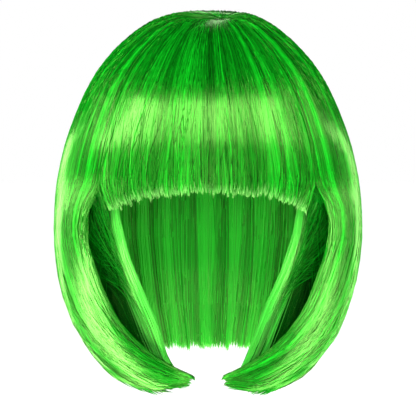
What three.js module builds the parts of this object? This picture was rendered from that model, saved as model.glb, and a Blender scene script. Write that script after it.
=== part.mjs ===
// A bob wig with a full fringe, in millimetres, +Z up, the face opening towards -Y.
// The hair hangs in two layers from a net cap: an outer one that runs from the whorl on the crown to
// the fringe, the two side curtains and the back, and a close one under it that frames the face and
// covers the nape. Each panel is a shell of locks, thick where it sits on the cap and thin at its ends.
// The origin is on the inside of the cap, where the top of the head meets it. The wearer's left is +X.
import * as THREE from "three";

// The head that the cap fits: half its breadth, its reach in front of and behind its widest place, and
// how far behind that place its top lies.
const HEAD_HALF_WIDTH = 76;
const HEAD_FRONT_LENGTH = 90;
const HEAD_BACK_LENGTH = 98;
const TOP_OFFSET = 17.8;

// The cap: its wall, and how far its lowest edge lies below the whorl.
const CAP_WALL = 1.5;
const CAP_DEPTH = 110;
const SEAT_GAP = 0.3;

// How far the outer hair stands off the cap, over the crown, at the sides, in front and behind.
const CROWN_OFFSET = 12;
const SIDE_OFFSET = 40.2;
const FRONT_OFFSET = 16.2;
const BACK_OFFSET = 28.2;

// Lengths: from the whorl straight down to the lowest ends, and the close layer below the cap's edge.
const HAIR_DROP = 287;
const UNDER_DROP = 162;

// Thickness of the hanging hair, and of its ends and its top edges.
const FRINGE_THICKNESS = 9;
const SIDE_THICKNESS = 11;
const BACK_THICKNESS = 12;
const UNDER_THICKNESS = 8;
const END_THICKNESS = 3;

// The whorl lies to the wearer's left and in front of the widest place, and the crown rises behind it.
const WHORL_OFFSET_X = 10.5;
const WHORL_OFFSET_Y = -22;
const WHORL_DEPTH = 5;
const WHORL_RADIUS = 2.5;
const CROWN_RISE_HEIGHT = 14;

// Locks: how deep the furrow between two is, and how far a lock's point hangs below its sides.
const LOCK_FURROW_DEPTH = 2.2;
const LOCK_POINT_LENGTH = 7;
const PANEL_GAP = 0.6;

// How square the head is in plan: 2 is an ellipse.
const HEAD_EXPONENT = 2.2;
const HAIR_EXPONENT = 2;

// Places along a strand, as shares of the way s from the whorl to the lowest ends: where the outer hair
// starts to leave the cap and has left it, where the close layer starts, and the lowest edge of the cap.
const LEAVES_CAP_SHARE = 0.3;
const OFF_CAP_SHARE = 0.43;
const UNDER_START_SHARE = 0.4;
const CAP_END_SHARE = 0.5;

// Seams between the panels, in degrees round from the middle of the front.
const BACK_SEAM_ANGLE = 122;
const NAPE_SEAM_ANGLE = 112;

// Where every section near the whorl stands: centre is the share of the whorl's offset that it keeps,
// and rise is the share of CROWN_RISE_HEIGHT that it gains behind the whorl.
const WHORL_ROWS = [
  { s: 0.0, centre: 1.0, rise: 0.0 },
  { s: 0.04, centre: 0.55, rise: 0.3 },
  { s: 0.08, centre: 0.2, rise: 0.65 },
  { s: 0.15, centre: 0.04, rise: 1.0 },
  { s: 0.22, centre: 0.0, rise: 0.9 },
  { s: 0.28, centre: 0.0, rise: 0.6 },
  { s: 0.35, centre: 0.0, rise: 0.3 },
  { s: 0.44, centre: 0.0, rise: 0.0 },
  { s: 1.0, centre: 0.0, rise: 0.0 },
];

// Level sections of the head: drop is a share of CAP_DEPTH, the others of the head's own sizes.
const HEAD_ROWS = [
  { s: 0.0, drop: 0.0, width: 0.0, front: 0.0, back: 0.0 },
  { s: 0.04, drop: 0.008, width: 0.17, front: 0.17, back: 0.15 },
  { s: 0.08, drop: 0.035, width: 0.34, front: 0.33, back: 0.3 },
  { s: 0.15, drop: 0.13, width: 0.585, front: 0.56, back: 0.545 },
  { s: 0.22, drop: 0.26, width: 0.755, front: 0.745, back: 0.735 },
  { s: 0.28, drop: 0.375, width: 0.86, front: 0.855, back: 0.845 },
  { s: 0.35, drop: 0.53, width: 0.94, front: 0.94, back: 0.93 },
  { s: 0.44, drop: 0.78, width: 0.985, front: 0.985, back: 0.985 },
  { s: 0.5, drop: 1.0, width: 1.0, front: 1.0, back: 1.0 },
];

// Level sections of the outer hair: drop is a share of HAIR_DROP, the others of its fullest reach.
const HAIR_ROWS = [
  { s: 0.0, drop: 0.0, width: 0.0, front: 0.0, back: 0.0 },
  { s: 0.04, drop: 0.003, width: 0.13, front: 0.18, back: 0.13 },
  { s: 0.08, drop: 0.014, width: 0.267, front: 0.343, back: 0.242 },
  { s: 0.15, drop: 0.062, width: 0.466, front: 0.585, back: 0.49 },
  { s: 0.22, drop: 0.123, width: 0.635, front: 0.761, back: 0.7 },
  { s: 0.28, drop: 0.182, width: 0.752, front: 0.87, back: 0.82 },
  { s: 0.35, drop: 0.262, width: 0.853, front: 0.935, back: 0.914 },
  { s: 0.44, drop: 0.362, width: 0.941, front: 0.981, back: 0.984 },
  { s: 0.53, drop: 0.488, width: 0.993, front: 1.0, back: 1.0 },
  { s: 0.6, drop: 0.573, width: 1.0, front: 0.99, back: 0.977 },
  { s: 0.68, drop: 0.678, width: 0.974, front: 0.963, back: 0.922 },
  { s: 0.75, drop: 0.763, width: 0.925, front: 0.926, back: 0.856 },
  { s: 0.81, drop: 0.848, width: 0.838, front: 0.889, back: 0.772 },
  { s: 0.87, drop: 0.91, width: 0.733, front: 0.852, back: 0.7 },
  { s: 0.92, drop: 0.953, width: 0.64, front: 0.824, back: 0.65 },
  { s: 1.0, drop: 1.0, width: 0.42, front: 0.76, back: 0.508 },
];

// The inside of the close layer below the cap: s is the share of UNDER_DROP, the others of the cap there.
const UNDER_ROWS = [
  { s: 0.0, width: 1.0, front: 1.0, back: 1.0 },
  { s: 0.18, width: 1.0, front: 1.0, back: 0.985 },
  { s: 0.3, width: 0.99, front: 0.98, back: 0.955 },
  { s: 0.5, width: 0.915, front: 0.925, back: 0.885 },
  { s: 0.67, width: 0.815, front: 0.86, back: 0.795 },
  { s: 0.8, width: 0.71, front: 0.795, back: 0.71 },
  { s: 0.9, width: 0.64, front: 0.745, back: 0.64 },
  { s: 1.0, width: 0.56, front: 0.69, back: 0.58 },
];

// Azimuth of the panels' own edges down the strands, in degrees from the middle of the front.
const FRINGE_EDGE = [
  { s: 0.0, azimuth: 44 },
  { s: 0.48, azimuth: 44 },
  { s: 0.54, azimuth: 38.5 },
  { s: 0.6, azimuth: 37 },
];
const CURTAIN_EDGE = [
  { s: 0.0, azimuth: 44 },
  { s: 0.48, azimuth: 44 },
  { s: 0.545, azimuth: 51 },
  { s: 0.59, azimuth: 51.5 },
  { s: 0.67, azimuth: 46.5 },
  { s: 0.76, azimuth: 40.5 },
  { s: 0.8, azimuth: 33 },
  { s: 0.84, azimuth: 23 },
  { s: 0.865, azimuth: 14.5 },
  { s: 0.885, azimuth: 7 },
  { s: 0.93, azimuth: 3.5 },
  { s: 1.0, azimuth: 3 },
];
const BACK_EDGE = [
  { s: 0.0, azimuth: BACK_SEAM_ANGLE },
  { s: 0.5, azimuth: BACK_SEAM_ANGLE },
  { s: 0.93, azimuth: BACK_SEAM_ANGLE - 20 },
];
const TEMPLE_EDGE = [
  { s: 0.0, azimuth: 55 },
  { s: 0.13, azimuth: 51.5 },
  { s: 0.24, azimuth: 48 },
  { s: 0.35, azimuth: 43.5 },
  { s: 0.45, azimuth: 39 },
  { s: 0.55, azimuth: 34 },
  { s: 0.64, azimuth: 30 },
  { s: 0.79, azimuth: 26.5 },
  { s: 0.9, azimuth: 18.5 },
  { s: 1.0, azimuth: 16 },
];

// Where the strands end, across each panel from its first edge (u = 0) to its last (u = 1).
const FRINGE_ENDS = [
  { s: 0.0, end: 0.537 },
  { s: 0.07, end: 0.526 },
  { s: 0.2, end: 0.511 },
  { s: 0.35, end: 0.502 },
  { s: 0.5, end: 0.499 },
  { s: 0.65, end: 0.502 },
  { s: 0.8, end: 0.511 },
  { s: 0.93, end: 0.526 },
  { s: 1.0, end: 0.537 },
];
const CURTAIN_ENDS = [
  { s: 0.0, end: 0.882 },
  { s: 0.08, end: 0.906 },
  { s: 0.18, end: 0.926 },
  { s: 0.31, end: 0.955 },
  { s: 0.52, end: 0.965 },
  { s: 0.8, end: 0.926 },
  { s: 1.0, end: 0.875 },
];
const BACK_ENDS = [
  { s: 0.0, end: 0.87 },
  { s: 0.5, end: 0.855 },
  { s: 1.0, end: 0.87 },
];
const TEMPLE_ENDS = [
  { s: 0.0, end: 0.9 },
  { s: 0.3, end: 0.88 },
  { s: 1.0, end: 0.86 },
];
const NAPE_ENDS = [
  { s: 0.0, end: 0.84 },
  { s: 0.5, end: 0.865 },
  { s: 1.0, end: 0.84 },
];
const CAP_EDGE = [
  { s: 0.0, end: CAP_END_SHARE },
  { s: 0.25, end: 0.46 },
  { s: 0.5, end: 0.37 },
  { s: 0.75, end: 0.46 },
  { s: 1.0, end: CAP_END_SHARE },
];

const { lerp, smoothstep, degToRad } = THREE.MathUtils;

// The height of the whorl on the inside of the cap.
const WHORL_Z = -WHORL_DEPTH;

// The outer hair's fullest reach, and how far its crown stands above the inside of the cap.
const hairSizes = {
  width: HEAD_HALF_WIDTH + CAP_WALL + SEAT_GAP + SIDE_OFFSET,
  front: HEAD_FRONT_LENGTH + CAP_WALL + SEAT_GAP + FRONT_OFFSET,
  back: HEAD_BACK_LENGTH + CAP_WALL + SEAT_GAP + BACK_OFFSET,
  above: CAP_WALL + SEAT_GAP + CROWN_OFFSET,
};

// A table's column at place s, on a smooth curve through its rows that never passes beyond them.
function along(rows, column, s) {
  const last = rows.length - 1;
  let k = 0;
  while (k < last - 1 && s > rows[k + 1].s) k += 1;
  const step = (i) => (rows[i + 1][column] - rows[i][column]) / (rows[i + 1].s - rows[i].s);
  const slope = (i) => {
    if (i === 0 || i === last) return step(Math.min(i, last - 1));
    const [before, after] = [step(i - 1), step(i)];
    return before * after > 0 ? (2 * before * after) / (before + after) : 0;
  };
  const span = rows[k + 1].s - rows[k].s;
  const t = THREE.MathUtils.clamp((s - rows[k].s) / span, 0, 1);
  const [a, b] = [rows[k][column], rows[k + 1][column]];
  return (
    a * (1 + 2 * t) * (1 - t) ** 2 +
    b * t * t * (3 - 2 * t) +
    slope(k) * span * t * (1 - t) ** 2 -
    slope(k + 1) * span * t * t * (1 - t)
  );
}

// A point of a level section at an azimuth: half widths to the sides, to the front and to the back.
function sectionPoint(azimuth, s, z, width, front, back, squareness) {
  const angle = degToRad(azimuth);
  const power = 2 / squareness;
  const side = Math.sign(Math.sin(angle)) * Math.abs(Math.sin(angle)) ** power;
  const ahead = Math.sign(Math.cos(angle)) * Math.abs(Math.cos(angle)) ** power;
  const centre = along(WHORL_ROWS, "centre", s);
  const rise = along(WHORL_ROWS, "rise", s) * CROWN_RISE_HEIGHT;
  return new THREE.Vector3(
    WHORL_OFFSET_X * centre + width * side,
    WHORL_OFFSET_Y * centre - ahead * (ahead > 0 ? front : back) - TOP_OFFSET,
    WHORL_Z + z + (rise * (1 - Math.cos(angle))) / 2,
  );
}

// The head's surface moved out by an offset.
function headPoint(azimuth, s, offset) {
  const at = Math.min(s, CAP_END_SHARE);
  return sectionPoint(
    azimuth,
    at,
    offset - along(HEAD_ROWS, "drop", at) * CAP_DEPTH,
    along(HEAD_ROWS, "width", at) * (HEAD_HALF_WIDTH + offset),
    along(HEAD_ROWS, "front", at) * (HEAD_FRONT_LENGTH + offset),
    along(HEAD_ROWS, "back", at) * (HEAD_BACK_LENGTH + offset),
    HEAD_EXPONENT,
  );
}

// The outer hair's surface, moved in by a depth that is measured level.
function hairPoint(azimuth, s, depth) {
  return sectionPoint(
    azimuth,
    s,
    hairSizes.above - along(HAIR_ROWS, "drop", s) * HAIR_DROP,
    along(HAIR_ROWS, "width", s) * hairSizes.width - depth,
    along(HAIR_ROWS, "front", s) * hairSizes.front - depth,
    along(HAIR_ROWS, "back", s) * hairSizes.back - depth,
    HAIR_EXPONENT,
  );
}

// The inside of the outer hair: on the cap over the crown, and a thickness inside its surface below.
function hairInside(azimuth, s, thickness) {
  const onCap = headPoint(azimuth, s, CAP_WALL + SEAT_GAP);
  if (s <= LEAVES_CAP_SHARE) return onCap;
  const hanging = hairPoint(azimuth, s, thickness);
  return onCap.lerp(hanging, smoothstep(s, LEAVES_CAP_SHARE, OFF_CAP_SHARE));
}

// The close layer, moved out by an offset: on the cap down to the cap's end, and hanging free below.
function underPoint(azimuth, fall, offset) {
  const sits = CAP_WALL + SEAT_GAP + offset;
  if (fall < 0) return headPoint(azimuth, lerp(CAP_END_SHARE, UNDER_START_SHARE, -fall), sits);
  const end = CAP_WALL + SEAT_GAP;
  return sectionPoint(
    azimuth,
    CAP_END_SHARE,
    end - CAP_DEPTH - fall * UNDER_DROP,
    along(UNDER_ROWS, "width", fall) * (HEAD_HALF_WIDTH + end) + offset,
    along(UNDER_ROWS, "front", fall) * (HEAD_FRONT_LENGTH + end) + offset,
    along(UNDER_ROWS, "back", fall) * (HEAD_BACK_LENGTH + end) + offset,
    HEAD_EXPONENT,
  );
}

// One closed shell from a grid of points on its outside and one on its inside. A shell that goes all
// the way round joins its last column to its first, and a pole makes its first row one point.
function shell({ columns, rows, round = false, pole = false, outside, inside }) {
  const points = [];
  const grid = (pointAt) => {
    const numbers = [];
    for (let j = 0; j <= rows; j += 1) {
      const line = [];
      for (let i = 0; i <= columns; i += 1) {
        if (pole && j === 0 && i > 0) line.push(line[0]);
        else if (round && i === columns) line.push(line[0]);
        else line.push(points.push(pointAt(i / columns, j / rows)) - 1);
      }
      numbers.push(line);
    }
    return numbers;
  };
  const outer = grid(outside);
  const inner = grid(inside);
  const triangles = [];
  const quad = (a, b, c, d) => {
    for (const t of [[a, b, c], [a, c, d]]) {
      if (new Set(t).size === 3) triangles.push(...t);
    }
  };
  for (let j = 0; j < rows; j += 1) {
    for (let i = 0; i < columns; i += 1) {
      quad(outer[j][i], outer[j + 1][i], outer[j + 1][i + 1], outer[j][i + 1]);
      quad(inner[j][i], inner[j][i + 1], inner[j + 1][i + 1], inner[j + 1][i]);
    }
  }
  for (let i = 0; i < columns; i += 1) {
    if (!pole) quad(outer[0][i], outer[0][i + 1], inner[0][i + 1], inner[0][i]);
    quad(outer[rows][i + 1], outer[rows][i], inner[rows][i], inner[rows][i + 1]);
  }
  for (let j = 0; j < rows && !round; j += 1) {
    quad(outer[j][0], inner[j][0], inner[j + 1][0], outer[j + 1][0]);
    quad(inner[j + 1][columns], inner[j][columns], outer[j][columns], outer[j + 1][columns]);
  }
  const geometry = new THREE.BufferGeometry().setFromPoints(points);
  geometry.setIndex(triangles);
  geometry.computeVertexNormals();
  return geometry;
}

// Locks across a panel. The warp makes some wider than others, and furrow is 1 between two locks.
const COLUMNS_PER_LOCK = 3;
const lockWarp = (t) => t + 0.045 * Math.sin(4 * Math.PI * t);
const furrow = (t, locks) => ((1 + Math.cos(2 * Math.PI * t * locks)) / 2) ** 1.5;

// How much longer or shorter each lock is than the cut line, from -1 to 1.
const raggedness = (t, locks) => Math.sin(2.4 * Math.floor(Math.min(t, 0.999) * locks) + 1);

// A panel of locks between two edges. outside and inside give the point at (azimuth, v), ends gives
// where the strands at u end, and vAt spaces the rows down to there. An edge with pinch over 0 is thin.
function lockPanel({ locks, rows, from, to, ends, vAt, outside, inside, span, pinchFirst, pinchLast }) {
  const place = (t, share) => {
    const u = lockWarp(t);
    const point = LOCK_POINT_LENGTH / span;
    const cut = ends(u) - point * (furrow(t, locks) - 0.25 * raggedness(t, locks));
    const v = vAt(share, cut);
    return { u, v, azimuth: lerp(from(v), to(v), u) };
  };
  const outer = (t, share) => {
    const { v, azimuth } = place(t, share);
    const out = outside(azimuth, v);
    const into = inside(azimuth, v);
    const thickness = out.distanceTo(into);
    const groove = LOCK_FURROW_DEPTH * furrow(t, locks) * smoothstep(share, 0, 0.2);
    return out.lerp(into, Math.min(groove / thickness, 0.5));
  };
  const inner = (t, share) => {
    const { u, v, azimuth } = place(t, share);
    const out = outer(t, share);
    const into = inside(azimuth, v);
    const thickness = out.distanceTo(into);
    const thin = Math.max(1 - END_THICKNESS / thickness, 0);
    const atEnd = smoothstep(share, 0.72, 1);
    const atFirst = pinchFirst * (1 - smoothstep(u, 0, 0.14));
    const atLast = pinchLast * (1 - smoothstep(1 - u, 0, 0.14));
    const hanging = smoothstep(share, 0.35, 0.55);
    return into.lerp(out, thin * Math.max(atEnd, hanging * Math.max(atFirst, atLast)));
  };
  return shell({ columns: locks * COLUMNS_PER_LOCK, rows, outside: outer, inside: inner });
}

// Rows down a panel of the outer layer: SEAT_ROWS of them lie on the cap and SEAM_ROWS run on down the
// seams, at the same places in every panel, and the rest share out what hangs below.
const SEAT_ROWS = 5;
const SEAM_ROWS = 3;
const SEAM_END_SHARE = 0.45;
const STRAND = hairSizes.width + HAIR_DROP * 0.9;
const START = WHORL_RADIUS / STRAND;
const seatRow = (k) => lerp(START, LEAVES_CAP_SHARE, k / SEAT_ROWS);
const seamRow = (k) => lerp(LEAVES_CAP_SHARE, SEAM_END_SHARE, k / SEAM_ROWS);

function outerPanel({ locks, hangingRows, from, to, ends, thickness, pinchFirst = 0, pinchLast = 0 }) {
  const fixedRows = SEAT_ROWS + SEAM_ROWS;
  const rows = fixedRows + hangingRows;
  return lockPanel({
    locks,
    rows,
    from,
    to,
    ends,
    span: STRAND,
    pinchFirst,
    pinchLast,
    vAt: (share, end) => {
      const row = Math.round(share * rows);
      if (row <= SEAT_ROWS) return seatRow(row);
      if (row <= fixedRows) return seamRow(row - SEAT_ROWS);
      return lerp(SEAM_END_SHARE, end, (row - fixedRows) / hangingRows);
    },
    outside: (azimuth, v) => hairPoint(azimuth, v, 0),
    inside: (azimuth, v) => hairInside(azimuth, v, thickness),
  });
}

// A panel of the close layer: its first rows lie on the cap, and its top edge is thin.
const OVERLAP_ROWS = 3;
function underPanel({ locks, rows, from, to, ends, pinchFirst = 0, pinchLast = 0 }) {
  const topEdge = (fall) => lerp(END_THICKNESS, UNDER_THICKNESS, smoothstep(fall, -1, 0.15));
  return lockPanel({
    locks,
    rows,
    from,
    to,
    ends,
    span: UNDER_DROP,
    pinchFirst,
    pinchLast,
    vAt: (share, end) => {
      const row = Math.round(share * rows) - OVERLAP_ROWS;
      return row < 0 ? row / OVERLAP_ROWS : lerp(0, end, row / (rows - OVERLAP_ROWS));
    },
    outside: (azimuth, v) => underPoint(azimuth, v, topEdge(v)),
    inside: (azimuth, v) => underPoint(azimuth, v, 0),
  });
}

// The angle that half the gap between two panels takes up at place s.
function gapAt(s) {
  const reach = Math.max(along(HEAD_ROWS, "width", Math.min(s, CAP_END_SHARE)) * HEAD_HALF_WIDTH, WHORL_RADIUS);
  return THREE.MathUtils.radToDeg(PANEL_GAP / 2 / reach);
}
const underGap = THREE.MathUtils.radToDeg(PANEL_GAP / 2 / HEAD_HALF_WIDTH);

// An edge table read at s, and a table of ends read across a panel, from its first edge or its last.
const edge = (rows, side) => (s) => side * along(rows, "azimuth", Math.max(s, 0));
const ends = (rows, side) => (u) => along(rows, "end", side > 0 ? u : 1 - u);

function cap() {
  const seated = SEAT_ROWS + 1;
  const rows = seated + 3;
  const placeOf = (u, v) => {
    const row = Math.round(v * rows);
    if (row === 0) return 0;
    if (row <= seated) return seatRow(row - 1);
    return lerp(LEAVES_CAP_SHARE, along(CAP_EDGE, "end", u), (row - seated) / (rows - seated));
  };
  const surface = (offset) => (u, v) => headPoint(lerp(-180, 180, u), placeOf(u, v), offset);
  return shell({
    columns: 32,
    rows,
    round: true,
    pole: true,
    outside: surface(CAP_WALL),
    inside: surface(0),
  });
}

function fringe() {
  return outerPanel({
    locks: 12,
    hangingRows: 2,
    from: (s) => -along(FRINGE_EDGE, "azimuth", s) + gapAt(s),
    to: (s) => along(FRINGE_EDGE, "azimuth", s) - gapAt(s),
    ends: ends(FRINGE_ENDS, 1),
    thickness: FRINGE_THICKNESS,
  });
}

// One outer curtain: side is 1 for the wearer's left and -1 for the right.
function sideHair(side) {
  const front = (s) => edge(CURTAIN_EDGE, side)(s) + side * gapAt(s);
  const back = (s) => edge(BACK_EDGE, side)(s) - side * gapAt(s);
  return outerPanel({
    locks: 10,
    hangingRows: 8,
    from: side > 0 ? front : back,
    to: side > 0 ? back : front,
    ends: ends(CURTAIN_ENDS, side),
    thickness: SIDE_THICKNESS,
    pinchFirst: side > 0 ? 1 : 0,
    pinchLast: side > 0 ? 0 : 1,
  });
}

function backHair() {
  return outerPanel({
    locks: 12,
    hangingRows: 7,
    from: (s) => along(BACK_EDGE, "azimuth", s) + gapAt(s),
    to: (s) => 360 - along(BACK_EDGE, "azimuth", s) - gapAt(s),
    ends: ends(BACK_ENDS, 1),
    thickness: BACK_THICKNESS,
  });
}

// One close lock that frames the face: side is 1 for the wearer's left and -1 for the right.
function templeLock(side) {
  const front = edge(TEMPLE_EDGE, side);
  const back = () => side * (NAPE_SEAM_ANGLE - underGap);
  return underPanel({
    locks: 5,
    rows: 10,
    from: side > 0 ? front : back,
    to: side > 0 ? back : front,
    ends: ends(TEMPLE_ENDS, side),
    pinchFirst: side > 0 ? 0.3 : 0,
    pinchLast: side > 0 ? 0 : 0.3,
  });
}

function napeHair() {
  return underPanel({
    locks: 9,
    rows: 10,
    from: () => NAPE_SEAM_ANGLE + underGap,
    to: () => 360 - NAPE_SEAM_ANGLE - underGap,
    ends: ends(NAPE_ENDS, 1),
  });
}

const netting = new THREE.MeshStandardMaterial({ color: 0x0c5a16, roughness: 0.85, metalness: 0 });
const brightFibre = new THREE.MeshStandardMaterial({ color: 0x2fc22b, roughness: 0.35, metalness: 0 });
const innerFibre = new THREE.MeshStandardMaterial({ color: 0x1d9a22, roughness: 0.4, metalness: 0 });

const wig = new THREE.Group();
function add(name, geometry, material) {
  const mesh = new THREE.Mesh(geometry, material);
  mesh.name = name;
  wig.add(mesh);
}

add("cap", cap(), netting);
add("fringe", fringe(), brightFibre);
add("back_hair", backHair(), brightFibre);
add("nape_hair", napeHair(), innerFibre);
for (const [name, side] of [["left", 1], ["right", -1]]) {
  add(`side_hair_${name}`, sideHair(side), brightFibre);
  add(`temple_lock_${name}`, templeLock(side), innerFibre);
}

export default wig;
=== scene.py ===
import math
from dataclasses import dataclass

import bmesh
import bpy
import numpy as np
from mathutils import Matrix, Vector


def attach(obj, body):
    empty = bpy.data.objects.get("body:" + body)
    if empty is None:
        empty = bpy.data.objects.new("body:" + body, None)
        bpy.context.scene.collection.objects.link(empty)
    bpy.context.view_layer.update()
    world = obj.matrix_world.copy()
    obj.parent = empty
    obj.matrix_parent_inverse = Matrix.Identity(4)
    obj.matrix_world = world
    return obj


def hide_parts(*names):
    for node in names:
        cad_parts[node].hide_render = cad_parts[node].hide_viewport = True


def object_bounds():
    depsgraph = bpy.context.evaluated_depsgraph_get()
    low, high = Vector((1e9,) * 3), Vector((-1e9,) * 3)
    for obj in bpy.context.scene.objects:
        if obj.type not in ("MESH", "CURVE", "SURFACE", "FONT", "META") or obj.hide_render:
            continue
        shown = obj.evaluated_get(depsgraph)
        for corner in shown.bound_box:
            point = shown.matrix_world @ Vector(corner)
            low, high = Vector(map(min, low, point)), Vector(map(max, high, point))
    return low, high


bl_info = {
    "name": "Bob wig with a full fringe",
    "version": (1, 0, 0),
    "blender": (4, 5, 0),
    "location": "View3D > Sidebar > Wig",
    "description": "Builds a bob wig from laid strands on a net cap, with its studio",
    "category": "Object",
}

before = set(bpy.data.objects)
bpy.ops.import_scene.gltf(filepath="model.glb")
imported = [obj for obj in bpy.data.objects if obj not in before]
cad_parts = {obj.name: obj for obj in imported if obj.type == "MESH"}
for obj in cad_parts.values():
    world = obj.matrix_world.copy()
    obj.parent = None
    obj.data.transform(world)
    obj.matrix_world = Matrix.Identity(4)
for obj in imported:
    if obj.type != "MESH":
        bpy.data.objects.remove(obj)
CAD_BOX = [list(corner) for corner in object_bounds()]
BODY = "root"

# One millimetre of the wig as it was packed: its own half width is 117.6 of them.
MM = CAD_BOX[1][0] / 117.6

# The head inside the cap: half its breadth, its reach to front and back of its widest place, and how far
# behind that place its top lies. Then the cap's wall and depth, and the play between cap and hair.
HEAD_REACH = np.array([76.0, 90.0, 98.0]) * MM
TOP_OFFSET = 17.8 * MM
CAP_WALL = 1.5 * MM
CAP_DEPTH = 110.0 * MM
SEAT_GAP = 0.3 * MM
SEAT = CAP_WALL + SEAT_GAP

# The outer hair's fullest reach to the side, the front and the back, its height over the cap, its drop.
HAIR_REACH = HEAD_REACH + SEAT + np.array([40.2, 16.2, 28.2]) * MM
HAIR_ABOVE = SEAT + 12.0 * MM
HAIR_DROP = 287.0 * MM

# The close layer's drop, and its wall where it is sewn on and where it hangs free.
UNDER_DROP = 162.0 * MM
SEWN_WALL = 3.0 * MM
UNDER_WALL = 8.0 * MM

# The wall left at a hem or a free edge, and the share of a panel's width over which an edge thins to it.
HEM_WALL = 3.0 * MM
PINCH = 0.14

# A panel's width for what is laid across it, and how far its mass is set in from a free edge.
PANEL_WIDTH = 95.0 * MM
MASS_INSET = 1.2 / 90

# How far below the others sunk strands lie, whose tone is darkened as painted shade, the share of the
# width over which they sink, and the length of the cut ends paled as painted light and of the paler
# roots.
SUNK_BY = 2.2 * MM
SUNK_OVER = 0.06
PALE_END = 4.0 * MM
PALE_ROOT = 20.0 * MM

# The whorl on the crown, and how far the crown rises behind it.
WHORL = np.array([10.5, -22.0, -5.0]) * MM
WHORL_RADIUS = 2.5 * MM
CROWN_RISE = 14.0 * MM

# Exponents of the level sections, and the places along a strand where the hair leaves the cap.
HEAD_EXPONENT = 2.2
HAIR_EXPONENT = 2.0
LEAVES_CAP = 0.3
OFF_CAP = 0.43
UNDER_START = 0.4
CAP_END = 0.5
STRAND_LENGTH = HAIR_REACH[0] + 0.9 * HAIR_DROP
START = WHORL_RADIUS / STRAND_LENGTH

# The camera: its distance, what it looks at, its sensor in millimetres, the picture's width in pixels
# and the focal length in the same pixels at that distance. Then the middle and the reach of the studio.
CAMERA_DISTANCE = 2.0
LOOKED_AT = (0.0, -0.008, -0.1385)
SENSOR = 36.0
FRAME_PIXELS = 416
FOCAL_PIXELS = 2593
STUDIO_MIDDLE = (0.0, 0.0, -0.13)
SOFTBOX_DISTANCE = 2.0
FLOOR_HALF = 8.0

# Columns: s, share of the whorl's offset kept, share of the crown's rise gained.
WHORL_ROWS = np.array([
    [0.0, 1.0, 0.0], [0.04, 0.55, 0.3], [0.08, 0.2, 0.65], [0.15, 0.04, 1.0], [0.22, 0.0, 0.9],
    [0.28, 0.0, 0.6], [0.35, 0.0, 0.3], [0.44, 0.0, 0.0], [1.0, 0.0, 0.0],
])

# Columns: s, drop as a share of the cap's depth, then width, front and back as shares of the head's.
HEAD_ROWS = np.array([
    [0.0, 0.0, 0.0, 0.0, 0.0], [0.04, 0.008, 0.17, 0.17, 0.15], [0.08, 0.035, 0.34, 0.33, 0.3],
    [0.15, 0.13, 0.585, 0.56, 0.545], [0.22, 0.26, 0.755, 0.745, 0.735],
    [0.28, 0.375, 0.86, 0.855, 0.845], [0.35, 0.53, 0.94, 0.94, 0.93],
    [0.44, 0.78, 0.985, 0.985, 0.985], [0.5, 1.0, 1.0, 1.0, 1.0],
])

# Columns: s, drop as a share of the hair's, then width, front and back as shares of its fullest reach.
HAIR_ROWS = np.array([
    [0.0, 0.0, 0.0, 0.0, 0.0], [0.04, 0.003, 0.13, 0.18, 0.13], [0.08, 0.014, 0.267, 0.343, 0.242],
    [0.15, 0.062, 0.466, 0.585, 0.49], [0.22, 0.123, 0.635, 0.761, 0.7],
    [0.28, 0.182, 0.752, 0.87, 0.82], [0.35, 0.262, 0.853, 0.935, 0.914],
    [0.44, 0.362, 0.941, 0.981, 0.984], [0.53, 0.488, 0.993, 1.0, 1.0], [0.6, 0.573, 1.0, 0.99, 0.977],
    [0.68, 0.678, 0.974, 0.963, 0.922], [0.75, 0.763, 0.925, 0.926, 0.856],
    [0.81, 0.848, 0.838, 0.889, 0.772], [0.87, 0.91, 0.733, 0.852, 0.7],
    [0.92, 0.953, 0.64, 0.824, 0.65], [1.0, 1.0, 0.42, 0.76, 0.508],
])

# Columns: share of the close layer's fall, then width, front and back as shares of the cap's.
UNDER_ROWS = np.array([
    [0.0, 1.0, 1.0, 1.0], [0.18, 1.0, 1.0, 0.985], [0.3, 0.99, 0.98, 0.955],
    [0.5, 0.915, 0.925, 0.885], [0.67, 0.815, 0.86, 0.795], [0.8, 0.71, 0.795, 0.71],
    [0.9, 0.64, 0.745, 0.64], [1.0, 0.56, 0.69, 0.58],
])

# Columns: place down the strands, azimuth of the panel's edge in degrees from the middle of the front.
FRINGE_EDGE = np.array([[0.0, 44.0], [0.48, 44.0], [0.54, 38.5], [0.6, 37.0]])
CURTAIN_EDGE = np.array([
    [0.0, 44.0], [0.48, 44.0], [0.545, 51.0], [0.59, 51.5], [0.67, 46.5], [0.76, 40.5], [0.8, 33.0],
    [0.84, 23.0], [0.865, 14.5], [0.885, 7.0], [0.93, 3.5], [1.0, 3.0],
])
BACK_EDGE = np.array([[0.0, 122.0], [0.5, 122.0], [0.93, 102.0]])
TEMPLE_EDGE = np.array([
    [0.0, 55.0], [0.13, 51.5], [0.24, 48.0], [0.35, 43.5], [0.45, 39.0], [0.55, 34.0], [0.64, 30.0],
    [0.79, 26.5], [0.9, 18.5], [1.0, 16.0],
])
NAPE_EDGE = np.array([[0.0, 112.0], [1.0, 112.0]])

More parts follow.
